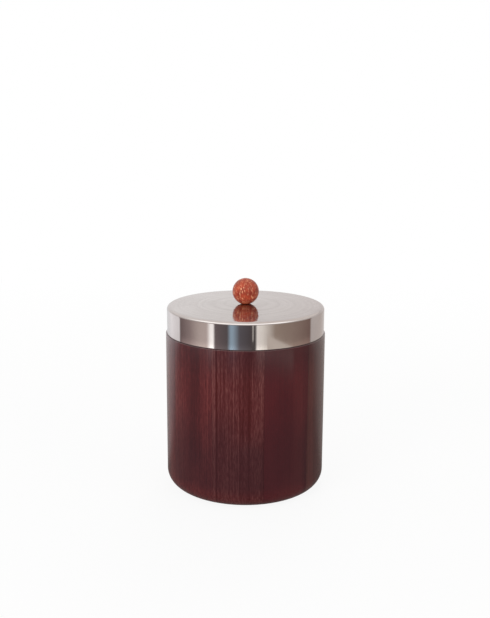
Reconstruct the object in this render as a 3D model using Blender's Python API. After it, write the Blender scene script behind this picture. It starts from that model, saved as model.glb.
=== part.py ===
"""Round lidded wooden box: glued staves on a housed base, a slip-on metal lid and a wooden ball knob.

Metres, +Z up. The origin is the centre of the underside, and -Y is the front.
"""

from math import asin, cos, pi, radians, sin, sqrt

import bmesh
import bpy

# Body: staves glued edge to edge, then turned round
BODY_RADIUS = 0.060
SHOULDER_HEIGHT = 0.1186
WALL = 0.010
FOOT_ROUND = 0.0115
STAVE_COUNT = 10
FIRST_JOINT = radians(-23)
GLUE_LINE = 0.0003

# Base: a board with a tongue round its edge, housed in a groove in the staves
BASE_THICKNESS = 0.010
TONGUE_THICKNESS = 0.004
TONGUE_DEPTH = 0.003

# Lid: spun sheet with a straight skirt, a rounded rim and a low crown
LID_HEIGHT = 0.0201
LID_SHEET = 0.0008
LID_CROWN = 0.0011
RIM_ROUND = 0.0022
SHOULDER_LEDGE = 0.0009

# Neck: the thinner top of the staves, inside the lid's skirt
SLIP_GAP = 0.0004
NECK_HEADROOM = 0.0006
NECK_EASE = 0.0008

# Knob: a wooden ball on a threaded insert, held by a screw and washer from inside the lid
BALL_RADIUS = 0.0099
BALL_SEAT_RIM = 0.0002
INSERT_WALL = 0.0005
INSERT_LENGTH = 0.009
SCREW_RADIUS = 0.0015
SCREW_TIP_GAP = 0.002
HEAD_RADIUS = 0.003
HEAD_HEIGHT = 0.0020
HEAD_EASE = 0.0008
SLOT_WIDTH = 0.0008
SLOT_DEPTH = 0.001
WASHER_RADIUS = 0.009
WASHER_THICKNESS = 0.001

# Room left between two solids that fit into each other
FIT_GAP = 0.0003

# Faces round a turned piece, and along its rounded edges
STAVE_STEPS = 6
LID_STEPS = STAVE_STEPS * STAVE_COUNT
KNOB_STEPS = 32
ARC_STEPS = 6
BASE_EDGE_STEPS = 2
CROWN_STEPS = 5
BALL_RINGS = 14
SMOOTH_ANGLE = radians(30)

# Sizes that follow from those above
FRONT = radians(-90)
STAVE_ANGLE = 2 * pi / STAVE_COUNT
INNER_RADIUS = BODY_RADIUS - WALL
FOOT_CENTRE = BODY_RADIUS - FOOT_ROUND
BASE_RADIUS = INNER_RADIUS - FIT_GAP
TONGUE_LOW = (BASE_THICKNESS - TONGUE_THICKNESS) / 2
TONGUE_HIGH = TONGUE_LOW + TONGUE_THICKNESS
LID_RADIUS = BODY_RADIUS - SHOULDER_LEDGE
NECK_RADIUS = LID_RADIUS - LID_SHEET - SLIP_GAP
NECK_TOP = SHOULDER_HEIGHT + LID_HEIGHT - RIM_ROUND - NECK_HEADROOM
SCREW_HOLE = SCREW_RADIUS + FIT_GAP
LID_SEAT = WASHER_RADIUS + FIT_GAP
INSERT_RADIUS = SCREW_HOLE + INSERT_WALL
BALL_SEAT = INSERT_RADIUS + FIT_GAP + BALL_SEAT_RIM

# The crown is a cap of one large sphere, which the rim's arc meets without a crease
CROWN_RADIUS = ((LID_RADIUS - RIM_ROUND) ** 2 + LID_CROWN ** 2) / (2 * LID_CROWN)
RIM_SLOPE = asin((LID_RADIUS - RIM_ROUND) / CROWN_RADIUS)
RIM_EDGE = LID_RADIUS - RIM_ROUND * (1 - sin(RIM_SLOPE))
RIM_CENTRE = LID_HEIGHT - RIM_ROUND
CROWN_CENTRE = RIM_CENTRE + RIM_ROUND * cos(RIM_SLOPE) - sqrt(CROWN_RADIUS ** 2 - RIM_EDGE ** 2)
LID_SEAT_TOP = CROWN_CENTRE + sqrt(CROWN_RADIUS ** 2 - LID_SEAT ** 2)
LID_SEAT_UNDER = LID_SEAT_TOP - LID_SHEET

# Finishes: sRGB colour, roughness, metallic
LACQUERED_WOOD = ("552C2D", 0.30, 0.0)
BARE_WOOD = ("6B4034", 0.55, 0.0)
POLISHED_METAL = ("D2C8C2", 0.12, 1.0)
KNOB_WOOD = ("B5613F", 0.40, 0.0)
BRASS = ("B08D4C", 0.35, 1.0)
STEEL = ("A6A6A8", 0.30, 1.0)
STAVE_TONE_SPREAD = 0.12


def linear(hex_colour, tone=1.0):
    """Return an sRGB hex colour as linear RGBA, made lighter or darker by a tone factor."""
    channels = [int(hex_colour[i:i + 2], 16) / 255 for i in (0, 2, 4)]
    return [tone * (c / 12.92 if c <= 0.04045 else ((c + 0.055) / 1.055) ** 2.4) for c in channels] + [1.0]


def finish(obj, look, tone=1.0):
    """Give an object its own material."""
    hex_colour, roughness, metallic = look
    material = bpy.data.materials.new(obj.name)
    material.use_nodes = True
    shader = material.node_tree.nodes["Principled BSDF"]
    shader.inputs["Base Color"].default_value = linear(hex_colour, tone)
    shader.inputs["Roughness"].default_value = roughness
    shader.inputs["Metallic"].default_value = metallic
    obj.data.materials.append(material)


def place(bm, name, parent=None):
    """Turn a bmesh into a named, smooth-shaded object in the scene."""
    bmesh.ops.recalc_face_normals(bm, faces=bm.faces)
    mesh = bpy.data.meshes.new(name)
    bm.to_mesh(mesh)
    bm.free()
    mesh.shade_smooth()
    mesh.set_sharp_from_angle(angle=SMOOTH_ANGLE)
    obj = bpy.data.objects.new(name, mesh)
    obj.parent = parent
    bpy.context.scene.collection.objects.link(obj)
    return obj


def arc(centre_r, centre_z, radius, start, end, steps=ARC_STEPS):
    """Return (r, z) points along an arc, with angles measured from +r towards +z."""
    angles = [start + (end - start) * i / steps for i in range(steps + 1)]
    return [(centre_r + radius * cos(a), centre_z + radius * sin(a)) for a in angles]


def outline_edges(bm, outline, closed, turn=0.0):
    """Add an (r, z) outline as edges in the half plane at one angle round the Z axis."""
    verts = [bm.verts.new((r * cos(turn), r * sin(turn), z)) for r, z in outline]
    ends = verts[1:] + verts[:1] if closed else verts[1:]
    return [bm.edges.new(pair) for pair in zip(verts, ends)]


def turned(name, outline, steps, parent=None, closed=True):
    """Turn an outline a full circle: a closed one makes a ring, an open one starts and ends on the axis."""
    bm = bmesh.new()
    edges = outline_edges(bm, outline, closed)
    bmesh.ops.spin(bm, geom=list(bm.verts) + edges, cent=(0, 0, 0), axis=(0, 0, 1), angle=2 * pi,
                   steps=steps, use_merge=True)
    bmesh.ops.remove_doubles(bm, verts=bm.verts, dist=1e-7)
    return place(bm, name, parent)


def foot_arc(from_radius):
    """Return the rounded lower edge from a radius out to the body's side."""
    start = max(from_radius, FOOT_CENTRE)
    return arc(FOOT_CENTRE, FOOT_ROUND, FOOT_ROUND, asin((start - FOOT_CENTRE) / FOOT_ROUND) - pi / 2, 0)


def stave_outline():
    """Return a stave's section: foot, side, shoulder, neck, inner face and the groove for the base."""
    foot = [(INNER_RADIUS, 0)] if INNER_RADIUS < FOOT_CENTRE else []
    groove = INNER_RADIUS + TONGUE_DEPTH
    return foot + foot_arc(INNER_RADIUS) + [
        (BODY_RADIUS, SHOULDER_HEIGHT),
        (NECK_RADIUS, SHOULDER_HEIGHT),
        (NECK_RADIUS, NECK_TOP - NECK_EASE),
        (NECK_RADIUS - NECK_EASE, NECK_TOP),
        (INNER_RADIUS + NECK_EASE, NECK_TOP),
        (INNER_RADIUS, NECK_TOP - NECK_EASE),
        (INNER_RADIUS, TONGUE_HIGH + FIT_GAP),
        (groove, TONGUE_HIGH + FIT_GAP),
        (groove, TONGUE_LOW),
        (INNER_RADIUS, TONGUE_LOW),
    ]


def make_stave(index):
    """Make one stave: its section swept through its share of the circle, less the glue line."""
    gap_angle = GLUE_LINE / INNER_RADIUS
    start = FRONT + FIRST_JOINT + index * STAVE_ANGLE + gap_angle / 2
    bm = bmesh.new()
    edges = outline_edges(bm, stave_outline(), closed=True, turn=start)
    bmesh.ops.spin(bm, geom=list(bm.verts) + edges, cent=(0, 0, 0), axis=(0, 0, 1),
                   angle=STAVE_ANGLE - gap_angle, steps=STAVE_STEPS)
    bmesh.ops.holes_fill(bm, edges=[edge for edge in bm.edges if edge.is_boundary], sides=0)
    stave = place(bm, f"stave_{index + 1:02d}")
    finish(stave, LACQUERED_WOOD, 1 + STAVE_TONE_SPREAD * sin(pi * index * (sqrt(5) - 1)))


def make_base():
    """Make the base board, turned flush with the staves' rounded foot."""
    if FOOT_CENTRE < BASE_RADIUS:
        reach = asin((BASE_RADIUS - FOOT_CENTRE) / FOOT_ROUND) - pi / 2
        underside = arc(FOOT_CENTRE, FOOT_ROUND, FOOT_ROUND, -pi / 2, reach, BASE_EDGE_STEPS)
    else:
        underside = [(BASE_RADIUS, 0)]
    tongue = BASE_RADIUS + TONGUE_DEPTH
    base = turned("base_board", [(0, 0)] + underside + [
        (BASE_RADIUS, TONGUE_LOW),
        (tongue, TONGUE_LOW),
        (tongue, TONGUE_HIGH),
        (BASE_RADIUS, TONGUE_HIGH),
        (BASE_RADIUS, BASE_THICKNESS),
        (0, BASE_THICKNESS),
    ], LID_STEPS, closed=False)
    finish(base, BARE_WOOD)


def crown_points(radius):
    """Return points on the crown from the rim's edge in to the flat seat, on one face of the sheet."""
    reach = RIM_EDGE * radius / CROWN_RADIUS
    stations = [reach + (LID_SEAT - reach) * i / CROWN_STEPS for i in range(1, CROWN_STEPS)]
    return [(r, CROWN_CENTRE + sqrt(radius ** 2 - r ** 2)) for r in stations]


def make_lid(lid):
    """Make the lid's shell, with a hole for the knob's screw in a flat seat at its centre."""
    rim_centre_r = LID_RADIUS - RIM_ROUND
    top = pi / 2 - RIM_SLOPE
    outside = arc(rim_centre_r, RIM_CENTRE, RIM_ROUND, 0, top) + crown_points(CROWN_RADIUS)
    inside = arc(rim_centre_r, RIM_CENTRE, RIM_ROUND - LID_SHEET, 0, top)
    inside += crown_points(CROWN_RADIUS - LID_SHEET)
    shell = turned("lid_shell", [(LID_RADIUS, 0)] + outside + [
        (LID_SEAT, LID_SEAT_TOP),
        (SCREW_HOLE, LID_SEAT_TOP),
        (SCREW_HOLE, LID_SEAT_UNDER),
        (LID_SEAT, LID_SEAT_UNDER),
    ] + inside[::-1] + [(LID_RADIUS - LID_SHEET, 0)], LID_STEPS, lid)
    finish(shell, POLISHED_METAL)


def make_ball(lid):
    """Make the ball knob, flat where it sits on the lid and bored from there for its insert."""
    seat_angle = asin(BALL_SEAT / BALL_RADIUS)
    centre = LID_SEAT_TOP + BALL_RADIUS * cos(seat_angle)
    bore = INSERT_RADIUS + FIT_GAP
    bore_end = LID_SEAT_TOP + INSERT_LENGTH + FIT_GAP
    surface = arc(0, centre, BALL_RADIUS, seat_angle - pi / 2, pi / 2, BALL_RINGS)
    ball = turned("knob_ball", [(0, bore_end), (bore, bore_end), (bore, LID_SEAT_TOP)] + surface,
                  KNOB_STEPS, lid, closed=False)
    finish(ball, KNOB_WOOD)


def make_insert(lid):
    """Make the ball's threaded insert, drawn at the thread's outer diameter."""
    insert = turned("knob_insert", [
        (SCREW_HOLE, LID_SEAT_TOP),
        (INSERT_RADIUS, LID_SEAT_TOP),
        (INSERT_RADIUS, LID_SEAT_TOP + INSERT_LENGTH),
        (SCREW_HOLE, LID_SEAT_TOP + INSERT_LENGTH),
    ], KNOB_STEPS, lid)
    finish(insert, BRASS)


def make_washer(lid):
    """Make the wide washer that spreads the screw's pull over the thin sheet."""
    low = LID_SEAT_UNDER - WASHER_THICKNESS
    washer = turned("knob_washer", [
        (SCREW_HOLE, low),
        (WASHER_RADIUS, low),
        (WASHER_RADIUS, LID_SEAT_UNDER),
        (SCREW_HOLE, LID_SEAT_UNDER),
    ], KNOB_STEPS, lid)
    finish(washer, STEEL)


def make_screw(lid):
    """Make the slotted pan-head screw that passes up through the washer and lid into the insert."""
    under_head = LID_SEAT_UNDER - WASHER_THICKNESS
    head_low = under_head - HEAD_HEIGHT
    tip = LID_SEAT_TOP + INSERT_LENGTH - SCREW_TIP_GAP
    rounding = arc(HEAD_RADIUS - HEAD_EASE, head_low + HEAD_EASE, HEAD_EASE, -pi / 2, 0)
    screw = turned("knob_screw", [(0, head_low)] + rounding + [
        (HEAD_RADIUS, under_head),
        (SCREW_RADIUS, under_head),
        (SCREW_RADIUS, tip),
        (0, tip),
    ], KNOB_STEPS, lid, closed=False)
    finish(screw, STEEL)

    bm = bmesh.new()
    bmesh.ops.create_cube(bm, size=1)
    bmesh.ops.scale(bm, verts=bm.verts, vec=(4 * HEAD_RADIUS, SLOT_WIDTH, 2 * SLOT_DEPTH))
    bmesh.ops.translate(bm, verts=bm.verts, vec=(0, 0, head_low))
    cutter = place(bm, "slot_cutter", lid)
    cutter.hide_render = True
    cutter.display_type = "WIRE"
    slot = screw.modifiers.new("slot", "BOOLEAN")
    slot.operation = "DIFFERENCE"
    slot.object = cutter


def main():
    """Build the box in an empty scene."""
    for obj in list(bpy.data.objects):
        bpy.data.objects.remove(obj, do_unlink=True)
    for index in range(STAVE_COUNT):
        make_stave(index)
    make_base()
    lid = bpy.data.objects.new("lid_lift", None)
    lid.location.z = SHOULDER_HEIGHT
    bpy.context.scene.collection.objects.link(lid)
    for make in (make_lid, make_ball, make_insert, make_washer, make_screw):
        make(lid)


main()
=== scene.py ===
"""Dress the round lidded wooden box: lacquered staves, a spun metal lid and a turned ball knob."""

import logging
import random
from dataclasses import dataclass, field
from enum import Enum
from math import asin, atan, atan2, cos, hypot, inf, pi, radians, sin
from typing import Any, Optional, Sequence

import bmesh
import bpy
from mathutils import Matrix, Vector


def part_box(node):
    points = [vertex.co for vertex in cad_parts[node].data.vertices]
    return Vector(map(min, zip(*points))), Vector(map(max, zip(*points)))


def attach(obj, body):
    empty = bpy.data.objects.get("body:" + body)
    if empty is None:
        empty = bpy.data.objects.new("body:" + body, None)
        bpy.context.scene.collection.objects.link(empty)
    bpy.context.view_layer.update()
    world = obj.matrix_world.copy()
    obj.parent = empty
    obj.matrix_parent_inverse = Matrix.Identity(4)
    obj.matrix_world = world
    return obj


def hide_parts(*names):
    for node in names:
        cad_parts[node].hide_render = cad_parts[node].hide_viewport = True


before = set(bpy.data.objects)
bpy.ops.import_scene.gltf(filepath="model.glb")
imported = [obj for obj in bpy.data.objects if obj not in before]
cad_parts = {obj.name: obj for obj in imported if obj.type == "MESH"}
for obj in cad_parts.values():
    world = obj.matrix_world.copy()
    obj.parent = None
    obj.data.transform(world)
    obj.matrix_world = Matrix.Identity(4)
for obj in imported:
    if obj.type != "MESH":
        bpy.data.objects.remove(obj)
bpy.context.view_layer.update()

LOG = logging.getLogger("lidded_box")
MM = 0.001
SMOOTH_ANGLE = radians(30)
LONG_STRETCH = 3 * MM
GUARD = 0.15 * MM
# How near two places lie that count as one, and how far past an edge a search for others starts.
MERGE_DISTANCE = 1e-7
ANGLE_TOLERANCE = 1e-9
SAME_PLACE = 0.001 * MM
SAME_WALL = 0.01 * MM
SEARCH_MARGIN = 1 * MM
# The photo is taken from the front, looking along +Y. A radial gradient turned to it is 0.5 there.
FRONT = radians(-90)
FRONT_SHARE = 0.5
FULL_TURN = 2 * pi
TURN_DEGREES = 360
NOISE_MEAN = 0.5
WHITE = "FFFFFF"
IMAGE_HEIGHT_PX = 618
SENSOR_MM = 36.0

Pair = tuple[float, float]
Triple = tuple[float, float, float]
Outline = list[Pair]
Stops = Sequence[tuple[float, str]]
Mesh = bmesh.types.BMesh
Material = bpy.types.Material
Node = bpy.types.Node
Socket = bpy.types.NodeSocket
Tree = bpy.types.NodeTree


def to_linear(hex_colour: str) -> tuple[float, float, float, float]:
    """Turn an sRGB hex colour into linear RGBA.

    Args:
        hex_colour: Six hex digits, such as "55292B".

    Returns:
        The colour as linear red, green, blue and an alpha of 1.
    """
    channels = [int(hex_colour[i:i + 2], 16) / 255 for i in (0, 2, 4)]
    red, green, blue = [c / 12.92 if c <= 0.04045 else ((c + 0.055) / 1.055) ** 2.4 for c in channels]
    return red, green, blue, 1.0


def feed(tree: Tree, node: Node, inputs: dict) -> None:
    """Set a node's inputs, to values or by links.

    Args:
        tree: The node tree that holds the node.
        node: The node.
        inputs: Socket name or number to a value, or to the output socket to link from.
    """
    for key, value in inputs.items():
        if isinstance(value, Socket):
            tree.links.new(value, node.inputs[key])
        else:
            node.inputs[key].default_value = value


def add(tree: Tree, kind: str, inputs: Optional[dict] = None, stops: Stops = (), **settings: Any) -> Node:
    """Add a node with its settings, its input values and its links.

    Args:
        tree: The node tree that gets the node.
        kind: The node's type name, after the ShaderNode that all of them start with.
        inputs: Its inputs, as feed takes them.
        stops: Positions and hex colours of a colour ramp.
        **settings: Properties of the node itself.

    Returns:
        The new node.
    """
    node = tree.nodes.new("ShaderNode" + kind)
    for name, value in settings.items():
        setattr(node, name, value)
    feed(tree, node, inputs or {})
    for index, (position, colour) in enumerate(stops):
        elements = node.color_ramp.elements
        element = elements[index] if index < 2 else elements.new(position)
        element.position = position
        element.color = to_linear(colour)
    return node


def new_material(name: str) -> tuple[Material, Tree, Node]:
    """Make a node material that holds a Principled shader.

    Args:
        name: The material's name.

    Returns:
        The material, its node tree and its Principled shader.
    """
    material = bpy.data.materials.new(name)
    material.use_nodes = True
    return material, material.node_tree, material.node_tree.nodes["Principled BSDF"]


def per_metre(spacing_mm: Triple) -> Triple:
    """Turn a pattern's spacing along X, Y and Z, in millimetres, into a mapping's scale."""
    return tuple(1 / (mm * MM) for mm in spacing_mm)


def arc(centre_r: float, centre_z: float, radius: float, start: float, end: float, steps: int) -> Outline:
    """Give points along an arc of a turned outline.

    Args:
        centre_r: Distance of the arc's centre from the Z axis.
        centre_z: Height of the arc's centre.
        radius: The arc's radius.
        start: First angle, from outwards towards up.
        end: Last angle.
        steps: Number of chords.

    Returns:
        Distances from the axis and heights, from start to end.
    """
    angles = [start + (end - start) * i / steps for i in range(steps + 1)]
    return [(centre_r + radius * cos(a), centre_z + radius * sin(a)) for a in angles]


def guarded(outline: Outline, closed: bool) -> Outline:
    """Add a point near each end of the long straight stretches, so that their shading stays flat.

    Args:
        outline: Distances from the axis and heights.
        closed: Whether the outline's ends join.

    Returns:
        The outline with its added points.
    """
    points: Outline = []
    ends = outline[1:] + outline[:1] if closed else outline[1:]
    for (r, z), (next_r, next_z) in zip(outline, ends):
        points.append((r, z))
        length = hypot(next_r - r, next_z - z)
        if length > LONG_STRETCH:
            share = GUARD / length
            points.extend((r + (next_r - r) * t, z + (next_z - z) * t) for t in (share, 1 - share))
    return points if closed else points + outline[-1:]


def turn(outline: Outline, steps: int, closed: bool = True, start: float = 0.0,
         sweep: float = FULL_TURN) -> Mesh:
    """Spin an outline about the Z axis into a closed solid.

    Args:
        outline: Distances from the axis and heights.
        steps: Number of faces round the sweep.
        closed: Whether the outline's ends join; an open one starts and ends on the axis.
        start: Angle of the first section.
        sweep: Angle swept; less than a full turn gets flat ends.

    Returns:
        The mesh, with its faces pointing out.
    """
    mesh = bmesh.new()
    verts = [mesh.verts.new((r * cos(start), r * sin(start), z)) for r, z in guarded(outline, closed)]
    ends = verts[1:] + verts[:1] if closed else verts[1:]
    edges = [mesh.edges.new(pair) for pair in zip(verts, ends)]
    full = abs(sweep - FULL_TURN) < ANGLE_TOLERANCE
    bmesh.ops.spin(mesh, geom=verts + edges, cent=(0, 0, 0), axis=(0, 0, 1), angle=sweep, steps=steps,
                   use_merge=full)
    bmesh.ops.remove_doubles(mesh, verts=mesh.verts, dist=MERGE_DISTANCE)
    if not full:
        bmesh.ops.holes_fill(mesh, edges=[edge for edge in mesh.edges if edge.is_boundary], sides=0)
    bmesh.ops.recalc_face_normals(mesh, faces=mesh.faces)
    return mesh


def link_mesh(mesh: Mesh, name: str, material: Material) -> bpy.types.Object:
    """Put a mesh into the scene as a smooth-shaded object.

    Args:
        mesh: The mesh, which is used up.
        name: The object's name.
        material: Its one material.

    Returns:
        The new object.
    """
    data = bpy.data.meshes.new(name)
    mesh.to_mesh(data)
    mesh.free()
    data.shade_smooth()
    data.set_sharp_from_angle(angle=SMOOTH_ANGLE)
    data.materials.append(material)
    obj = bpy.data.objects.new(name, data)
    bpy.context.scene.collection.objects.link(obj)
    return obj


def fit_piece(mesh: Mesh, node: str, body: str, material: Material) -> None:
    """Put a finer piece in the place of a CAD node.

    Args:
        mesh: The piece's mesh, which is used up.
        node: The CAD node that it stands for.
        body: The body that it moves with.
        material: Its finish.
    """
    piece = link_mesh(mesh, f"{node}_turned", material)
    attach(piece, body)
    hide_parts(node)
    LOG.info("%s: %d faces, %s", piece.name, len(piece.data.polygons), material.name)


def dress_node(node: str, material: Material) -> None:
    """Give a CAD node that keeps its shape a better finish.

    Args:
        node: The CAD node.
        material: Its finish.
    """
    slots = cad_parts[node].data.materials
    slots.clear()
    slots.append(material)
    LOG.info("%s keeps its solid: %s", node, material.name)


def reach(node: str, low: float = -inf, high: float = inf) -> list[Pair]:
    """List how far a CAD node's points lie from the Z axis, between two heights.

    Args:
        node: The CAD node.
        low: Lowest height.
        high: Highest height.

    Returns:
        Distance from the axis and height of each point.
    """
    points = [vertex.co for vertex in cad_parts[node].data.vertices]
    return [(hypot(p.x, p.y), p.z) for p in points if low <= p.z <= high]


class Cut(Enum):
    """How a stave was sawn, which sets its figure."""

    STRIPED = "quarter-sawn, with fine upright lines"
    PLAIN = "flat-sawn, quiet and dark"
    RED = "rift-sawn, redder, with soft streaks"
    BROWN = "flat-sawn, browner and even"


@dataclass(frozen=True)
class Figure:
    """Colours of one cut of the wood, and how strongly its clouds, streaks, lines and pores show."""

    dark: str
    middle: str
    light: str
    clouds: float
    streaks: float
    lines: float
    pores: float


FIGURES = {
    Cut.STRIPED: Figure("40080A", "4F1B1D", "663634", 0.20, 0.25, 0.85, 0.80),
    Cut.PLAIN: Figure("3A0B13", "480F16", "551B1E", 0.30, 0.20, 0.25, 0.25),
    Cut.RED: Figure("3C1216", "501A1D", "642B2A", 0.30, 0.30, 0.70, 0.70),
    Cut.BROWN: Figure("3B1816", "4B211E", "5C2D29", 0.35, 0.30, 0.35, 0.30),
}


@dataclass(frozen=True)
class Band:
    """An upright band of wood: its place, half width, strength and span of heights.

    A strength below 0 lightens. Without a span, the band runs past both ends of the stave.
    """

    across_mm: float
    half_width_mm: float
    depth: float
    low_mm: float = -100.0
    high_mm: float = 300.0


@dataclass(frozen=True)
class StaveLook:
    """What sets a stave apart: its cut, how deep its staining and painted shade low down are, and its
    bands.
    """

    cut: Cut
    # How deep the staining and painted shade low on the stave are.
    stain_and_shade: float
    bands: tuple[Band, ...]


# The staves that the photo shows, counted from the front one towards +X.
FRONT_STAVES = {
    -2: StaveLook(Cut.RED, 0.3, (Band(8.0, 8.0, -0.2),)),
    -1: StaveLook(Cut.RED, 0.95, (
        Band(5.0, 6.0, 0.45, 22.0), Band(-14.0, 7.0, -0.20), Band(17.0, 2.5, -0.15),
        Band(-9.0, 7.0, 0.16, 68.0))),
    0: StaveLook(Cut.STRIPED, 0.95, (
        Band(6.0, 5.0, 0.35, 45.0), Band(-15.3, 0.6, 0.6), Band(-18.0, 2.2, -0.25),
        Band(-11.0, 4.0, -0.12, 35.0))),
    1: StaveLook(Cut.PLAIN, 0.7, (Band(9.5, 6.5, -0.40), Band(0.0, 15.0, -0.35, -60.0, 35.0))),
    2: StaveLook(Cut.BROWN, 0.3, (Band(-14.0, 4.0, -0.2),)),
}


@dataclass(frozen=True)
class LacqueredMahogany:
    """Stained mahogany under a satin lacquer, darker low on the box and under the lid's edge with painted
    shade, and lighter at the foot with painted bounce light.

    Upright grain in dark wine red, with fine pores, under a smooth clear coat that shows a soft sheen at
    the sides. Pores are far finer than a pixel, so their spacing is drawn coarse enough to show.
    """

    look: StaveLook
    centre_angle: float
    seed: float
    cloud_mm: Triple = (22.0, 30.0, 60.0)
    streak_mm: Triple = (4.0, 14.0, 250.0)
    line_mm: Triple = (0.7, 3.0, 90.0)
    pore_mm: Triple = (0.45, 0.8, 4.5)
    grain_detail: float = 2.0
    pore_detail: float = 1.0
    grain_roughness: float = 0.55
    band_fade: Pair = (0.3, 1.3)
    band_run_out: float = 25 * MM
    wander: float = 60 * MM
    # Painted shade: a dark tone laid low on the box and under the lid's edge, thinned at the foot as
    # painted bounce light.
    painted_shade_tone: str = "2A1219"
    painted_shade_cover: float = 0.6
    low_shade_heights: Pair = (35 * MM, 85 * MM)
    # Painted bounce light: the painted shade thinned at the foot, where light from the floor falls.
    bounce_shade_left: float = 0.1
    bounce_light_heights: Pair = (5 * MM, 18 * MM)
    # Painted shade under the lid's edge.
    under_lid_shade_strength: float = 0.65
    under_lid_shade_heights: Pair = (92 * MM, 116 * MM)
    roughness: float = 0.45
    roughness_swing: float = 0.1
    pore_relief: float = 0.10
    pore_depth: float = 0.05 * MM
    specular: float = 0.1
    coat_roughness: float = 0.16

    def layers(self, tree: Tree, upright: Socket) -> list[Socket]:
        """Add the grain's layers of noise.

        Args:
            tree: The material's nodes.
            upright: Coordinates with X across the stave and Z up it.

        Returns:
            The clouds, streaks, lines and pores.
        """
        layers = []
        for spacing, detail in ((self.cloud_mm, self.grain_detail), (self.streak_mm, self.grain_detail),
                                (self.line_mm, self.grain_detail), (self.pore_mm, self.pore_detail)):
            stretched = add(tree, "Mapping", {
                "Vector": upright, "Scale": per_metre(spacing),
                "Location": (self.seed, 2 * self.seed, 3 * self.seed)})
            noise = add(tree, "TexNoise", {
                "Vector": stretched.outputs[0], "Scale": 1.0, "Detail": detail,
                "Roughness": self.grain_roughness})
            layers.append(noise.outputs["Fac"])
        return layers

    def mixed(self, tree: Tree, layers: Sequence[Socket]) -> Socket:
        """Add the layers up, each as strong as the cut shows it.

        Args:
            tree: The material's nodes.
            layers: The clouds, streaks, lines and pores.

        Returns:
            The figure, from 0 for dark wood to 1 for light.
        """
        figure = FIGURES[self.look.cut]
        strengths = (figure.clouds, figure.streaks, figure.lines, figure.pores)
        value = NOISE_MEAN - sum(strengths)
        for layer, strength in zip(layers, strengths):
            value = add(tree, "Math", {0: layer, 1: strength / NOISE_MEAN, 2: value},
                        operation="MULTIPLY_ADD").outputs[0]
        return value

    def banded(self, tree: Tree, value: Socket, across: Socket, height: Socket) -> Socket:
        """Darken or lighten the figure along the stave's bands.

        Args:
            tree: The material's nodes.
            value: The figure.
            across: Place across the stave.
            height: Height, made uneven so that no band ends in a straight line.

        Returns:
            The figure with its bands.
        """
        inner, outer = self.band_fade
        for band in self.look.bands:
            half_width = band.half_width_mm * MM
            offset = add(tree, "Math", {0: across, 1: band.across_mm * MM}, operation="SUBTRACT")
            distance = add(tree, "Math", {0: offset.outputs[0]}, operation="ABSOLUTE")
            fade = add(tree, "MapRange", {
                "Value": distance.outputs[0], "From Min": inner * half_width,
                "From Max": outer * half_width, "To Min": -band.depth, "To Max": 0.0},
                interpolation_type="SMOOTHSTEP")
            middle = (band.high_mm + band.low_mm) / 2 * MM
            half = (band.high_mm - band.low_mm) / 2 * MM
            rise = add(tree, "Math", {0: height, 1: middle}, operation="SUBTRACT")
            away = add(tree, "Math", {0: rise.outputs[0]}, operation="ABSOLUTE")
            run = add(tree, "MapRange", {
                "Value": away.outputs[0], "From Min": half - self.band_run_out, "From Max": half,
                "To Min": 1.0, "To Max": 0.0}, interpolation_type="SMOOTHSTEP")
            value = add(tree, "Math", {0: run.outputs["Result"], 1: fade.outputs["Result"], 2: value},
                        operation="MULTIPLY_ADD").outputs[0]
        return value

    def painted_shade_depth(self, tree: Tree, height: Socket, level: Socket) -> Socket:
        """Lay painted shade low on the box and under the lid's edge, thinned at the foot by painted bounce
        light from the floor.

        Args:
            tree: The material's nodes.
            height: Uneven height.
            level: True height.

        Returns:
            How far the painted shade covers the wood, from 0 to 1.
        """
        # Painted shade low down, thinned by painted bounce light at the foot, and painted shade under the
        # lid's edge.
        low_shade, bounce_light, under_lid_shade = [
            add(tree, "MapRange", {
                "Value": value, "From Min": low, "From Max": high, "To Min": first, "To Max": last},
                interpolation_type="SMOOTHSTEP").outputs["Result"]
            for value, (low, high), first, last in (
                (height, self.low_shade_heights, self.look.stain_and_shade * self.painted_shade_cover, 0.0),
                (level, self.bounce_light_heights, self.bounce_shade_left, 1.0),
                (level, self.under_lid_shade_heights, 0.0, self.under_lid_shade_strength * self.painted_shade_cover))]
        depth = add(tree, "Math", {0: low_shade, 1: bounce_light}, operation="MULTIPLY")
        return add(tree, "Math", {0: depth.outputs[0], 1: under_lid_shade}, operation="MAXIMUM").outputs[0]

    def material(self, name: str) -> Material:
        """Build the finish.

        Args:
            name: The material's name.

        Returns:
            The material.
        """
        material, tree, shader = new_material(name)
        place = add(tree, "TexCoord").outputs["Object"]
        upright = add(tree, "Mapping", {
            "Vector": place, "Rotation": (0, 0, FRONT - self.centre_angle)}).outputs[0]
        layers = self.layers(tree, upright)
        clouds, pores = layers[0], layers[-1]
        parts = add(tree, "SeparateXYZ", {0: upright})
        across, level = parts.outputs["X"], parts.outputs["Z"]
        uneven = add(tree, "Math", {0: clouds, 1: self.wander, 2: -self.wander * NOISE_MEAN},
                     operation="MULTIPLY_ADD")
        height = add(tree, "Math", {0: level, 1: uneven.outputs[0]}, operation="ADD").outputs[0]
        value = self.banded(tree, self.mixed(tree, layers), across, height)
        figure = FIGURES[self.look.cut]
        colour = add(tree, "ValToRGB", {"Fac": value},
                     [(0.0, figure.dark), (1.0, figure.light), (NOISE_MEAN, figure.middle)])
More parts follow.
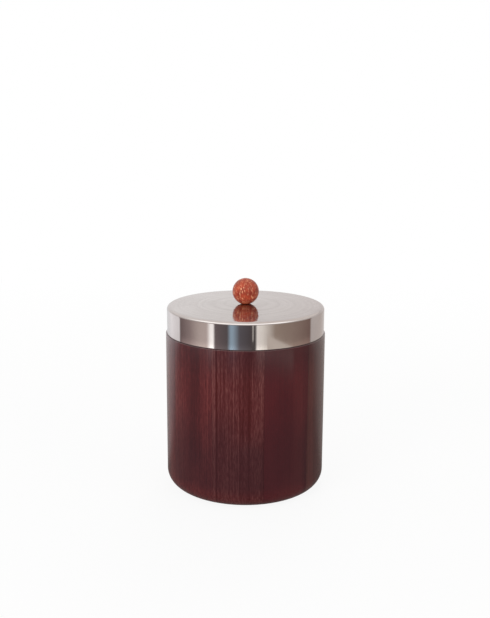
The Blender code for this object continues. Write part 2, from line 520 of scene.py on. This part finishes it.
        # The painted shade and painted bounce light mixed into the wood's colour.
        shaded_colour = add(tree, "Mix", {
            "Factor": self.painted_shade_depth(tree, height, level), "A": colour.outputs["Color"],
            "B": to_linear(self.painted_shade_tone)}, data_type="RGBA")
        rough = add(tree, "MapRange", {
            "Value": pores, "To Min": self.roughness + self.roughness_swing,
            "To Max": self.roughness - self.roughness_swing})
        relief = add(tree, "Bump", {
            "Height": pores, "Strength": self.pore_relief, "Distance": self.pore_depth})
        feed(tree, shader, {
            "Base Color": shaded_colour.outputs["Result"], "Roughness": rough.outputs["Result"],
            "Normal": relief.outputs["Normal"], "Specular IOR Level": self.specular, "Coat Weight": 1.0,
            "Coat Roughness": self.coat_roughness})
        return material


@dataclass(frozen=True)
class PlankMahogany:
    """The base board's mahogany, sealed but not lacquered: grain along Y, duller than the staves."""

    stops: Stops = ((0.3, "45241F"), (0.75, "7A4A3B"), (0.5, "613529"))
    plank_mm: Triple = (2.2, 90.0, 6.0)
    grain_detail: float = 4.0
    grain_roughness: float = 0.6
    distortion: float = 0.4
    grain_relief: float = 0.15
    grain_depth: float = 0.1 * MM
    roughness: float = 0.55

    def material(self, name: str) -> Material:
        """Build the finish.

        Args:
            name: The material's name.

        Returns:
            The material.
        """
        material, tree, shader = new_material(name)
        place = add(tree, "TexCoord").outputs["Object"]
        stretched = add(tree, "Mapping", {"Vector": place, "Scale": per_metre(self.plank_mm)})
        grain = add(tree, "TexNoise", {
            "Vector": stretched.outputs[0], "Scale": 1.0, "Detail": self.grain_detail,
            "Roughness": self.grain_roughness, "Distortion": self.distortion})
        colour = add(tree, "ValToRGB", {"Fac": grain.outputs["Fac"]}, self.stops)
        relief = add(tree, "Bump", {
            "Height": grain.outputs["Fac"], "Strength": self.grain_relief, "Distance": self.grain_depth})
        feed(tree, shader, {
            "Base Color": colour.outputs["Color"], "Roughness": self.roughness,
            "Normal": relief.outputs["Normal"]})
        return material


@dataclass(frozen=True)
class SpunSteel:
    """Stainless sheet spun over a former and polished.

    Bright warm-grey mirror with faint lines that run round it, left by the polishing wheel, and a slow
    swell from the spinning that dies out towards the rim. A thin film of wear veils it where it is seen at
    a low angle. The lines are drawn wider than the real scratches, so that they show.
    """

    stops: Stops = ((0.17, "B9B2AF"), (0.33, "C3BDBA"))
    line_mm: float = 1.1
    line_detail: float = 3.0
    line_roughness: float = 0.6
    line_relief: float = 0.2
    line_depth: float = 0.06 * MM
    wave_mm: float = 4.5
    wave_detail: float = 1.0
    wave_depth: float = 0.15 * MM
    wave_radii: Pair = (36 * MM, 46 * MM)
    wave_left: float = 0.2
    haze_mm: float = 25.0
    haze_detail: float = 3.0
    haze_range: Pair = (0.3, 0.7)
    roughness: float = 0.06
    roughness_range: Pair = (0.75, 1.35)
    film: float = 0.25
    film_roughness: float = 0.5

    def material(self, name: str) -> Material:
        """Build the finish.

        Args:
            name: The material's name.

        Returns:
            The material.
        """
        material, tree, shader = new_material(name)
        place = add(tree, "TexCoord").outputs["Object"]
        parts = add(tree, "SeparateXYZ", {0: place})
        flat = add(tree, "CombineXYZ", {"X": parts.outputs["X"], "Y": parts.outputs["Y"]})
        radius = add(tree, "VectorMath", {0: flat.outputs[0]}, operation="LENGTH").outputs["Value"]
        lines = add(tree, "TexNoise", {
            "W": radius, "Scale": 1 / (self.line_mm * MM), "Detail": self.line_detail,
            "Roughness": self.line_roughness}, noise_dimensions="1D")
        waves = add(tree, "TexNoise", {
            "W": radius, "Scale": 1 / (self.wave_mm * MM), "Detail": self.wave_detail},
            noise_dimensions="1D")
        haze = add(tree, "TexNoise", {
            "Vector": place, "Scale": 1 / (self.haze_mm * MM), "Detail": self.haze_detail})

        clear, hazy = self.haze_range
        least, most = self.roughness_range
        rough = add(tree, "MapRange", {
            "Value": haze.outputs["Fac"], "From Min": clear, "From Max": hazy,
            "To Min": least * self.roughness, "To Max": most * self.roughness})
        inner, outer = self.wave_radii
        dying = add(tree, "MapRange", {
            "Value": radius, "From Min": inner, "From Max": outer, "To Min": 1.0, "To Max": self.wave_left})
        swell = add(tree, "Bump", {
            "Height": waves.outputs["Fac"], "Strength": dying.outputs["Result"],
            "Distance": self.wave_depth})
        relief = add(tree, "Bump", {
            "Height": lines.outputs["Fac"], "Strength": self.line_relief, "Distance": self.line_depth,
            "Normal": swell.outputs["Normal"]})
        patchy = add(tree, "Math", {0: waves.outputs["Fac"], 1: haze.outputs["Fac"]},
                     operation="MULTIPLY")
        tint = add(tree, "ValToRGB", {"Fac": patchy.outputs[0]}, self.stops)
        feed(tree, shader, {
            "Base Color": tint.outputs["Color"], "Roughness": rough.outputs["Result"],
            "Normal": relief.outputs["Normal"], "Metallic": 1.0, "Coat Weight": self.film,
            "Coat Roughness": self.film_roughness})
        return material


@dataclass(frozen=True)
class WaxedPadauk:
    """Turned padauk, waxed: orange-red wood with pale upright flecks in its colour, partly grain and partly
    painted glints of light on the pores.
    """

    ground_stops: Stops = ((0.3, "7A2415"), (0.7, "B0462A"))
    # Pale flecks: partly grain, partly painted glints of light on the pores.
    glint_fleck_stops: Stops = ((0.54, "000000"), (0.70, WHITE))
    glint_fleck_colour: str = "DC9770"
    fleck_mm: Triple = (0.9, 0.9, 3.2)
    fleck_detail: float = 2.0
    fleck_roughness: float = 0.5
    fleck_relief: float = 0.25
    fleck_depth: float = 0.1 * MM
    cloud_mm: float = 4.0
    cloud_detail: float = 2.0
    roughness: float = 0.42
    specular: float = 0.3

    def material(self, name: str) -> Material:
        """Build the finish.

        Args:
            name: The material's name.

        Returns:
            The material.
        """
        material, tree, shader = new_material(name)
        place = add(tree, "TexCoord").outputs["Object"]
        stretched = add(tree, "Mapping", {"Vector": place, "Scale": per_metre(self.fleck_mm)})
        flecks = add(tree, "TexNoise", {
            "Vector": stretched.outputs[0], "Scale": 1.0, "Detail": self.fleck_detail,
            "Roughness": self.fleck_roughness})
        clouds = add(tree, "TexNoise", {
            "Vector": place, "Scale": 1 / (self.cloud_mm * MM), "Detail": self.cloud_detail})
        ground = add(tree, "ValToRGB", {"Fac": clouds.outputs["Fac"]}, self.ground_stops)
        # Painted glints: pale flecks in the colour stand for light caught by the pores, as well as grain.
        glint_fleck = add(tree, "ValToRGB", {"Fac": flecks.outputs["Fac"]}, self.glint_fleck_stops)
        colour = add(tree, "Mix", {
            "Factor": glint_fleck.outputs["Color"], "A": ground.outputs["Color"],
            "B": to_linear(self.glint_fleck_colour)}, data_type="RGBA")
        relief = add(tree, "Bump", {
            "Height": flecks.outputs["Fac"], "Strength": self.fleck_relief, "Distance": self.fleck_depth})
        feed(tree, shader, {
            "Base Color": colour.outputs["Result"], "Roughness": self.roughness,
            "Normal": relief.outputs["Normal"], "Specular IOR Level": self.specular})
        return material


@dataclass(frozen=True)
class PlainMetal:
    """A small hidden fixing's metal, with a little uneven dulling that takes its shine off in places."""

    light: str
    dark: str
    roughness: float
    dulling_mm: float = 2.5
    dulling_detail: float = 4.0
    dulling_stops: Pair = (0.3, 0.7)
    rougher: float = 0.12
    smoother: float = 0.08

    def material(self, name: str) -> Material:
        """Build the finish.

        Args:
            name: The material's name.

        Returns:
            The material.
        """
        material, tree, shader = new_material(name)
        place = add(tree, "TexCoord").outputs["Object"]
        dulling = add(tree, "TexNoise", {
            "Vector": place, "Scale": 1 / (self.dulling_mm * MM), "Detail": self.dulling_detail})
        colour = add(tree, "ValToRGB", {"Fac": dulling.outputs["Fac"]},
                     list(zip(self.dulling_stops, (self.dark, self.light))))
        rough = add(tree, "MapRange", {
            "Value": dulling.outputs["Fac"], "To Min": self.roughness + self.rougher,
            "To Max": self.roughness - self.smoother})
        feed(tree, shader, {
            "Base Color": colour.outputs["Color"], "Roughness": rough.outputs["Result"], "Metallic": 1.0})
        return material


ZINC_PLATE = PlainMetal("B9BABD", "8B8C90", 0.32)
BRASS = PlainMetal("C29B52", "96763A", 0.35)


@dataclass
class StaveBody:
    """The coopered body: ten staves turned round together, drawn with finer curves than their solids.

    The base board's groove is found in the solid, low in the wall and a margin short of the neck's face.
    """

    count: int = 10
    glue_line: float = 0.06 * MM
    shoulder_ease: float = 0.5 * MM
    neck_ease: float = 0.9 * MM
    steps: int = 24
    foot_steps: int = 14
    ease_steps: int = 4
    groove_margin: float = 2 * MM
    groove_zone: float = 0.2
    seed: int = 11
    drawn_cuts: tuple[Cut, ...] = (Cut.STRIPED, Cut.PLAIN, Cut.RED)
    drawn_bands: int = 2
    band_places_mm: Pair = (-15.0, 15.0)
    band_half_widths_mm: Pair = (1.5, 4.0)
    band_depths: Pair = (-0.3, 0.45)
    grain_seeds: Pair = (0.0, 50.0)
    # Range of the other staves' staining and painted shade low down.
    stain_and_shade_range: Pair = (0.5, 1.0)
    shoulder: float = field(init=False)
    radius: float = field(init=False)
    inner_radius: float = field(init=False)
    neck_radius: float = field(init=False)
    neck_top: float = field(init=False)
    foot_round: float = field(init=False)
    groove: Triple = field(init=False)

    def __post_init__(self) -> None:
        """Take the body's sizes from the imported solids."""
        self.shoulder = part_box("lid_shell")[0].z
        self.neck_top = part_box("stave_01")[1].z
        stave = reach("stave_01")
        self.radius = max(r for r, _ in stave)
        self.inner_radius = min(r for r, _ in stave)
        self.neck_radius = max(r for r, _ in reach("stave_01", self.shoulder + SEARCH_MARGIN))
        self.foot_round = self.radius - max(r for r, _ in reach("base_board", high=SAME_PLACE))
        nearest, farthest = self.inner_radius + SEARCH_MARGIN, self.neck_radius - self.groove_margin
        housed = [(r, z) for r, z in stave
                  if nearest < r < farthest and SEARCH_MARGIN < z < self.groove_zone * self.shoulder]
        depth = min(r for r, _ in housed)
        heights = [z for r, z in housed if abs(r - depth) < SAME_WALL]
        self.groove = (depth, min(heights), max(heights))

    def outline(self) -> Outline:
        """Give a stave's section.

        Returns:
            The section, from the foot up the outside, over the neck and down the inside.
        """
        foot_centre = self.radius - self.foot_round
        foot_start = asin((self.inner_radius - foot_centre) / self.foot_round) - pi / 2
        groove_r, groove_low, groove_high = self.groove
        ease, neck = self.shoulder_ease, self.neck_ease
        return (
            arc(foot_centre, self.foot_round, self.foot_round, foot_start, 0, self.foot_steps)
            + arc(self.radius - ease, self.shoulder - ease, ease, 0, pi / 2, self.ease_steps)
            + [(self.neck_radius, self.shoulder)]
            + arc(self.neck_radius - neck, self.neck_top - neck, neck, 0, pi / 2, self.ease_steps)
            + arc(self.inner_radius + neck, self.neck_top - neck, neck, pi / 2, pi, self.ease_steps)
            + [(self.inner_radius, groove_high), (groove_r, groove_high), (groove_r, groove_low),
               (self.inner_radius, groove_low)])

    def finish_for(self, index: int, centre_angle: float, draw: random.Random) -> LacqueredMahogany:
        """Choose a stave's look: the front ones as photographed, the others at random.

        Args:
            index: The stave's place, counted from the front one towards +X.
            centre_angle: Angle of its middle round the Z axis.
            draw: The seeded source of the other staves' figure.

        Returns:
            The stave's finish.
        """
        cut = draw.choice(self.drawn_cuts)
        bands = tuple(
            Band(draw.uniform(*self.band_places_mm), draw.uniform(*self.band_half_widths_mm),
                 draw.uniform(*self.band_depths))
            for _ in range(self.drawn_bands))
        seed = draw.uniform(*self.grain_seeds)
        drawn = StaveLook(cut, draw.uniform(*self.stain_and_shade_range), bands)
        place = index if index < self.count / 2 else index - self.count
        return LacqueredMahogany(FRONT_STAVES.get(place, drawn), centre_angle, seed)

    def build(self) -> None:
        """Model and dress the staves and the base board."""
        draw = random.Random(self.seed)
        outline = self.outline()
        sweep = FULL_TURN / self.count - self.glue_line / self.inner_radius
        for index in range(self.count):
            node = f"stave_{index + 1:02d}"
            points = [vertex.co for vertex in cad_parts[node].data.vertices]
            middle = sum(points, Vector()) / len(points)
            centre_angle = atan2(middle.y, middle.x)
            finish = self.finish_for(index, centre_angle, draw)
            mesh = turn(outline, self.steps, start=centre_angle - sweep / 2, sweep=sweep)
            fit_piece(mesh, node, "box",
                      finish.material(f"lacquered_mahogany_{index + 1:02d}"))
        dress_node("base_board", PlankMahogany().material("sealed_mahogany"))


@dataclass
class Lid:
    """The spun lid and the fixings that hold its knob.

    The crown falls from its seat by a power of the distance, between a cone at 1 and a dome at 2.
    """

    rim_round: float = 2.2 * MM
    crown_power: float = 1.2
    steps: int = 240
    rim_steps: int = 12
    crown_steps: int = 24
    edge_steps: int = 6
    radius: float = field(init=False)
    sheet: float = field(init=False)
    skirt_low: float = field(init=False)
    seat_top: float = field(init=False)
    rim_centre: float = field(init=False)
    hole: float = field(init=False)
    seat_radius: float = field(init=False)

    def __post_init__(self) -> None:
        """Take the lid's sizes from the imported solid."""
        low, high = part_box("lid_shell")
        self.skirt_low, self.seat_top = low.z, high.z
        shell = reach("lid_shell")
        self.radius = max(r for r, _ in shell)
        self.hole = min(r for r, _ in shell)
        self.sheet = self.radius - min(r for r, _ in reach("lid_shell", high=low.z + SEARCH_MARGIN))
        self.rim_centre = max(z for r, z in shell if self.radius - r < SAME_PLACE)
        self.seat_radius = max(r for r, z in shell if self.seat_top - z < SAME_PLACE)

    def face(self, inset: float) -> Outline:
        """Give one face of the sheet from the skirt to the screw hole.

        Args:
            inset: How far the face lies inside the outer one.

        Returns:
            The rim's arc, the crown and the flat seat.
        """
        rim_r = self.radius - self.rim_round
        crown = self.seat_top - self.rim_centre - self.rim_round
        slope = atan(self.crown_power * crown / (rim_r - self.seat_radius))
        rim = arc(rim_r, self.rim_centre, self.rim_round - inset, 0, pi / 2 - slope, self.rim_steps)
        edge_r, edge_z = rim[-1]
        run, rise = edge_r - self.seat_radius, self.seat_top - inset - edge_z
        shares = [1 - i / self.crown_steps for i in range(1, self.crown_steps)]
        return (
            rim
            + [(self.seat_radius + run * t, edge_z + rise * (1 - t ** self.crown_power)) for t in shares]
            + [(self.seat_radius, self.seat_top - inset), (self.hole, self.seat_top - inset)])

    def build(self) -> None:
        """Model the shell and dress the fixings."""
        half = self.sheet / 2
        lip = arc(self.radius - half, self.skirt_low + half, half, pi, FULL_TURN, self.edge_steps)
        outline = lip + self.face(0.0) + self.face(self.sheet)[::-1]
        fit_piece(turn(outline, self.steps), "lid_shell", "lid",
                  SpunSteel().material("spun_stainless_steel"))
        zinc = ZINC_PLATE.material("zinc_plated_steel")
        dress_node("knob_screw", zinc)
        dress_node("knob_washer", zinc)
        dress_node("knob_insert", BRASS.material("turned_brass"))


@dataclass
class Knob:
    """The turned wooden ball, whose bore ends within bore_zone radii of its seat."""

    steps: int = 96
    rings: int = 60
    bore_zone: float = 1.5

    def build(self) -> None:
        """Model the ball with its flat seat and its bore."""
        low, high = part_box("knob_ball")
        radius = (high.x - low.x) / 2
        ball = reach("knob_ball")
        foot = [r for r, z in ball if z - low.z < SAME_PLACE]
        seat, bore = max(foot), min(foot)
        bore_top = low.z + self.bore_zone * radius
        bore_end = max(z for r, z in ball if abs(r - bore) < SAME_WALL and z < bore_top)
        outline = [(0.0, bore_end), (bore, bore_end), (bore, low.z)]
        outline += arc(0, high.z - radius, radius, asin(seat / radius) - pi / 2, pi / 2, self.rings)
        fit_piece(turn(outline, self.steps, closed=False), "knob_ball", "lid",
                  WaxedPadauk().material("waxed_padauk"))


@dataclass(frozen=True)
class Card:
    """A stretch of the surroundings: its span in degrees from the front towards +X, and its end tones."""

    name: str
    start: float
    end: float
    first: str
    last: str


ROOM = (
    Card("paper sweep, far left", -180, -145, "B4B4B6", "C0C0C2"),
    Card("paper sweep, left", -128, -104, "DEDDE0", "D8D7DA"),
    Card("left wall", -102, -82, "685A5A", "867877"),
    Card("left wall, by the window", -65, -53, "ACA09C", "B4A8A4"),
    Card("window", -47.5, -43.5, WHITE, WHITE),
    Card("dark doorway, left side", -41.5, -24, "665C5E", "565052"),
    Card("curtain", -19, -16, "90A8BA", "8CA0B0"),
    Card("dark doorway, right side", -8, 9, "58565C", "484244"),
    Card("latch", 9.5, 10.5, "B8B6B2", "B8B6B2"),
    Card("dark doorway, past the latch", 11, 13.5, "4C4848", "4C4848"),
    Card("door frame", 15, 22, "E8E6E2", "E0DED8"),
    Card("right wall", 40, 100, "92847A", "705C56"),
    Card("paper sweep, right", 103, 130, "B0AAA8", "AEA6A2"),
    Card("paper sweep, far right", 150, 180, "B0AAA8", "B0AAA8"),
)
PAPER = (
    Card("paper behind, left half", -180, -170, "F2EFEE", "FAF8F8"),
    Card("paper, left side", -110, -100, "EDE9E8", "E6E2E0"),
    Card("room over the walls", -60, 60, "C4BCB8", "C4BCB8"),
    Card("paper, right side", 100, 110, "E0DAD8", "E4DEDC"),
    Card("paper behind, right half", 170, 180, "E9E3E2", "F2EFEE"),
)
SOFTBOX = (
    Card("paper, left", -180, -100, "C0BDBC", "C0BDBC"),
    Card("softbox", -72, 62, WHITE, WHITE),
    Card("paper, right", 90, 180, "BAB5B2", "BAB5B2"),
)
CEILING = (
    Card("paper overhead, left", -180, 0, "E8E4E2", "E8E4E2"),
    Card("paper overhead, right", 1, 180, "E2DBD8", "E2DBD8"),
)
TABLE = (
    Card("paper sweep, left", -180, -118, "BAB4B4", "BAB4B4"),
    Card("table", -104, 104, "5C5452", "5C5452"),
    Card("paper sweep, right", 118, 180, "9A928E", "9A928E"),
)


@dataclass(frozen=True)
class Screen:
    """A ring of cards, or a flat disc where it has no height, and how it glows and fades.

    Its foot glows foot_glow times as strongly, up to foot_reach degrees from the front. A screen that fades
    takes on its cards' tones with distance from the box. Lengths are in metres.
    """

    name: str
    cards: tuple[Card, ...]
    radius: float
    low: float
    high: float
    glow: float
    foot_glow: float = 1.0
    foot_reach: float = 180.0
    fade: Optional[Pair] = None


@dataclass(frozen=True)
class Sheet:
    """A low sheet before the cards: its span in degrees from the front, its end heights and its tone."""

    name: str
    start: float
    end: float
    start_high: float
    end_high: float
    tone: str


@dataclass
class Surround:
    """What only gloss sees: a dark table top, a low wall of cards, and paper and light over them."""

    steps: int = 180
    foot_height: float = 10 * MM
    near_tone: str = "5C5452"
    screens: tuple[Screen, ...] = (
        Screen("room_cards", ROOM, 0.42, 0.019, 0.150, 1.65, foot_glow=1.8, foot_reach=100.0),
        Screen("paper_cards", PAPER, 0.90, 0.150, 0.500, 1.0),
        Screen("softbox_cards", SOFTBOX, 0.90, 0.500, 1.400, 2.0),
        Screen("ceiling_card", CEILING, 0.90, 1.400, 1.400, 1.4),
        Screen("table_card", TABLE, 0.90, 0.001, 0.001, 1.6, fade=(-0.10, 0.62)),
    )
    sheet_radius: float = 0.40
    sheet_depth: float = 0.024
    sheet_steps: int = 12
    sheet_glow: float = 1.65
    sheets: tuple[Sheet, ...] = (
        Sheet("pale_step", 29.0, 67.0, 0.0445, 0.0265, "C0B8B0"),
        Sheet("threshold", 8.2, 13.0, 0.0385, 0.0385, "4C4848"),
    )

    def card_tones(self, screen: Screen) -> Stops:
        """List a screen's tones by their share of a turn.

        Args:
            screen: The screen.

        Returns:
            Ramp stops, the first and the last one ahead of the others.
        """
        ends = [end for card in screen.cards for end in ((card.start, card.first), (card.end, card.last))]
        stops = [(FRONT_SHARE + aside / TURN_DEGREES, tone) for aside, tone in ends]
        return [stops[0], stops[-1]] + stops[1:-1]

    def screen_finish(self, screen: Screen) -> Material:
        """Make a screen's glowing material, toned round the Z axis.

        Args:
            screen: The screen.

        Returns:
            The material.
        """
        material, tree, shader = new_material(screen.name)
        tree.nodes.remove(shader)
        place = add(tree, "TexCoord").outputs["Object"]
        turned = add(tree, "Mapping", {"Vector": place, "Rotation": (0, 0, -FRONT)})
        angle = add(tree, "TexGradient", {"Vector": turned.outputs[0]}, gradient_type="RADIAL")
        tone = add(tree, "ValToRGB", {"Fac": angle.outputs["Fac"]},
                   self.card_tones(screen)).outputs["Color"]
        if screen.fade:
            near, far = screen.fade
            distance = add(tree, "VectorMath", {0: place}, operation="LENGTH")
            share = add(tree, "MapRange", {
                "Value": distance.outputs["Value"], "From Min": near, "From Max": far})
            tone = add(tree, "Mix", {
                "Factor": share.outputs["Result"], "A": to_linear(self.near_tone), "B": tone},
                data_type="RGBA").outputs["Result"]
        offset = add(tree, "Math", {0: angle.outputs["Fac"], 1: FRONT_SHARE}, operation="SUBTRACT")
        aside = add(tree, "Math", {0: offset.outputs[0]}, operation="ABSOLUTE")
        near_front = add(tree, "Math", {
            0: aside.outputs[0], 1: screen.foot_reach / TURN_DEGREES}, operation="LESS_THAN")
        foot = add(tree, "Math", {
            0: near_front.outputs[0], 1: screen.glow * (screen.foot_glow - 1), 2: screen.glow},
            operation="MULTIPLY_ADD")
        parts = add(tree, "SeparateXYZ", {0: place})
        strength = add(tree, "MapRange", {
            "Value": parts.outputs["Z"], "From Min": screen.low, "From Max": screen.low + self.foot_height,
            "To Min": foot.outputs[0], "To Max": screen.glow})
        glow = add(tree, "Emission", {"Color": tone, "Strength": strength.outputs["Result"]})
        feed(tree, tree.nodes["Material Output"], {"Surface": glow.outputs[0]})
        return material

    def sheet_finish(self, sheet: Sheet) -> Material:
        """Make a sheet's glowing material, of one tone.

        Args:
            sheet: The sheet.

        Returns:
            The material.
        """
        material, tree, shader = new_material(sheet.name)
        tree.nodes.remove(shader)
        glow = add(tree, "Emission", {"Color": to_linear(sheet.tone), "Strength": self.sheet_glow})
        feed(tree, tree.nodes["Material Output"], {"Surface": glow.outputs[0]})
        return material

    def screen_mesh(self, screen: Screen) -> Mesh:
        """Make a screen's mesh, a ring or a disc about the Z axis.

        Args:
            screen: The screen.

        Returns:
            The mesh.
        """
        flat = screen.low == screen.high
        mesh = bmesh.new()
        bmesh.ops.create_circle(mesh, cap_ends=flat, segments=self.steps, radius=screen.radius)
        bmesh.ops.translate(mesh, verts=mesh.verts, vec=(0, 0, screen.low))
        if not flat:
            raised = bmesh.ops.extrude_edge_only(mesh, edges=mesh.edges)["geom"]
            tops = [item for item in raised if isinstance(item, bmesh.types.BMVert)]
            bmesh.ops.translate(mesh, verts=tops, vec=(0, 0, screen.high - screen.low))
        return mesh

    def sheet_mesh(self, sheet: Sheet) -> Mesh:
        """Make a sheet's mesh, a curved strip round the Z axis.

        Args:
            sheet: The sheet.

        Returns:
            The mesh.
        """
        mesh = bmesh.new()
        angle = FRONT + radians(sheet.start)
        x, y = self.sheet_radius * cos(angle), self.sheet_radius * sin(angle)
        ends = [mesh.verts.new((x, y, z)) for z in (sheet.start_high - self.sheet_depth, sheet.start_high)]
        bmesh.ops.spin(
            mesh, geom=ends + [mesh.edges.new(ends)], cent=(0, 0, 0), axis=(0, 0, 1),
            dvec=(0, 0, (sheet.end_high - sheet.start_high) / self.sheet_steps),
            angle=radians(sheet.end - sheet.start), steps=self.sheet_steps)
        return mesh

    def stand(self, obj: bpy.types.Object) -> None:
        """Make an object a stage piece that only reflections see.

        Args:
            obj: The screen or sheet.
        """
        obj.visible_camera = False
        obj.visible_diffuse = False
        obj.visible_transmission = False
        obj.visible_shadow = False

    def build(self) -> None:
        """Stand the screens and sheets round the box."""
        for screen in self.screens:
            self.stand(link_mesh(self.screen_mesh(screen), screen.name, self.screen_finish(screen)))
            LOG.info("%s: %s", screen.name, "; ".join(card.name for card in screen.cards))
        for sheet in self.sheets:
            self.stand(link_mesh(self.sheet_mesh(sheet), sheet.name, self.sheet_finish(sheet)))


@dataclass(frozen=True)
class Lamp:
    """A soft lamp: where it stands, its size and its power."""

    name: str
    place: Triple
    size: float
    watts: float


@dataclass
class Studio:
    """Pale floor, white surroundings and soft lamps."""

    floor_radius: float = 3.0
    floor_steps: int = 96
    floor_stops: Stops = ((0.3, "F2F2F1"), (0.7, "F6F6F5"))
    fibre_mm: float = 4.0
    fibre_detail: float = 3.0
    floor_roughness: float = 0.9
    floor_white: Pair = (0.9, 1.0)
    floor_shadow: Pair = (0.3, 0.9)
    sky_level: float = 0.62
    aim_height: float = 0.08
    lamps: tuple[Lamp, ...] = (
        Lamp("key_lamp", (-1.0, -1.25, 0.40), 1.0, 16.4),
        Lamp("fill_lamp", (1.2, -0.8, 0.45), 1.0, 3.3),
        Lamp("back_lamp", (0.2, 1.3, 1.2), 1.0, 7.0),
    )

    def build_floor(self) -> None:
        """Lay the floor, matt white paper that the camera sees white but for a faint shadow."""
        material, tree, shader = new_material("matt_white_paper")
        place = add(tree, "TexCoord").outputs["Object"]
        fibres = add(tree, "TexNoise", {
            "Vector": place, "Scale": 1 / (self.fibre_mm * MM), "Detail": self.fibre_detail})
        colour = add(tree, "ValToRGB", {"Fac": fibres.outputs["Fac"]}, self.floor_stops)
        feed(tree, shader, {
            "Base Color": colour.outputs["Color"], "Roughness": self.floor_roughness,
            "Specular IOR Level": 0.0})
        path = add(tree, "LightPath")
        distance = add(tree, "VectorMath", {0: place}, operation="LENGTH")
        near, far = self.floor_shadow
        low, high = self.floor_white
        level = add(tree, "MapRange", {
            "Value": distance.outputs["Value"], "From Min": near, "From Max": far, "To Min": low,
            "To Max": high})
        share = add(tree, "Math", {0: path.outputs["Is Camera Ray"], 1: level.outputs["Result"]},
                    operation="MULTIPLY")
        white = add(tree, "Emission", {"Color": to_linear(WHITE), "Strength": 1.0})
        both = add(tree, "MixShader", {0: share.outputs[0], 1: shader.outputs[0], 2: white.outputs[0]})
        feed(tree, tree.nodes["Material Output"], {"Surface": both.outputs[0]})
        mesh = bmesh.new()
        bmesh.ops.create_circle(mesh, cap_ends=True, segments=self.floor_steps, radius=self.floor_radius)
        link_mesh(mesh, "floor", material)

    def build_world(self) -> None:
        """Light from all round at a plain level, white where the camera or a reflection looks."""
        world = bpy.data.worlds.new("white_studio")
        bpy.context.scene.world = world
        world.use_nodes = True
        tree = world.node_tree
        tree.nodes.clear()
        path = add(tree, "LightPath")
        seen = add(tree, "Math", {
            0: path.outputs["Is Camera Ray"], 1: path.outputs["Is Glossy Ray"]}, operation="MAXIMUM")
        seen = add(tree, "Math", {
            0: seen.outputs[0], 1: path.outputs["Is Transmission Ray"]}, operation="MAXIMUM")
        lit = add(tree, "Background", {"Color": to_linear(WHITE), "Strength": self.sky_level})
        white = add(tree, "Background", {"Color": to_linear(WHITE), "Strength": 1.0})
        both = add(tree, "MixShader", {0: seen.outputs[0], 1: lit.outputs[0], 2: white.outputs[0]})
        add(tree, "OutputWorld", {"Surface": both.outputs[0]})

    def build_lamps(self) -> None:
        """Place the soft lamps, aimed at the box."""
        aim = Vector((0, 0, self.aim_height))
        for lamp in self.lamps:
            data = bpy.data.lights.new(lamp.name, "AREA")
            data.shape = "DISK"
            data.size = lamp.size
            data.energy = lamp.watts
            obj = bpy.data.objects.new(lamp.name, data)
            obj.visible_glossy = False
            obj.location = lamp.place
            obj.rotation_euler = (aim - Vector(lamp.place)).to_track_quat("-Z", "Y").to_euler()
            bpy.context.scene.collection.objects.link(obj)

    def build(self) -> None:
        """Set the stage."""
        bpy.context.scene.view_settings.view_transform = "Standard"
        self.build_floor()
        self.build_world()
        self.build_lamps()


@dataclass
class PhotoCamera:
    """The photograph's camera, fitted to the outlines of the lid, the seam and the foot."""

    distance: float = 0.68352
    height: float = 0.28527
    pitch: float = radians(12.353)
    yaw: float = radians(0.037)
    roll: float = radians(0.258)
    focal_px: float = 929.08

    def build(self) -> None:
        """Place the camera and make it the scene's own."""
        data = bpy.data.cameras.new("photo_camera")
        data.sensor_width = SENSOR_MM
        data.lens = self.focal_px * SENSOR_MM / IMAGE_HEIGHT_PX
        camera = bpy.data.objects.new("photo_camera", data)
        camera.matrix_world = (
            Matrix.Translation((0, -self.distance, self.height)) @ Matrix.Rotation(self.yaw, 4, "Z")
            @ Matrix.Rotation(pi / 2 - self.pitch, 4, "X") @ Matrix.Rotation(self.roll, 4, "Z"))
        bpy.context.scene.collection.objects.link(camera)
        bpy.context.scene.camera = camera


def main() -> None:
    """Build the camera, the stage and the box."""
    logging.basicConfig(level=logging.INFO, format="%(name)s: %(message)s")
    for part in (PhotoCamera(), Studio(), Surround(), StaveBody(), Lid(), Knob()):
        part.build()
        LOG.info("built %s", type(part).__name__)


if __name__ == "__main__":
    main()
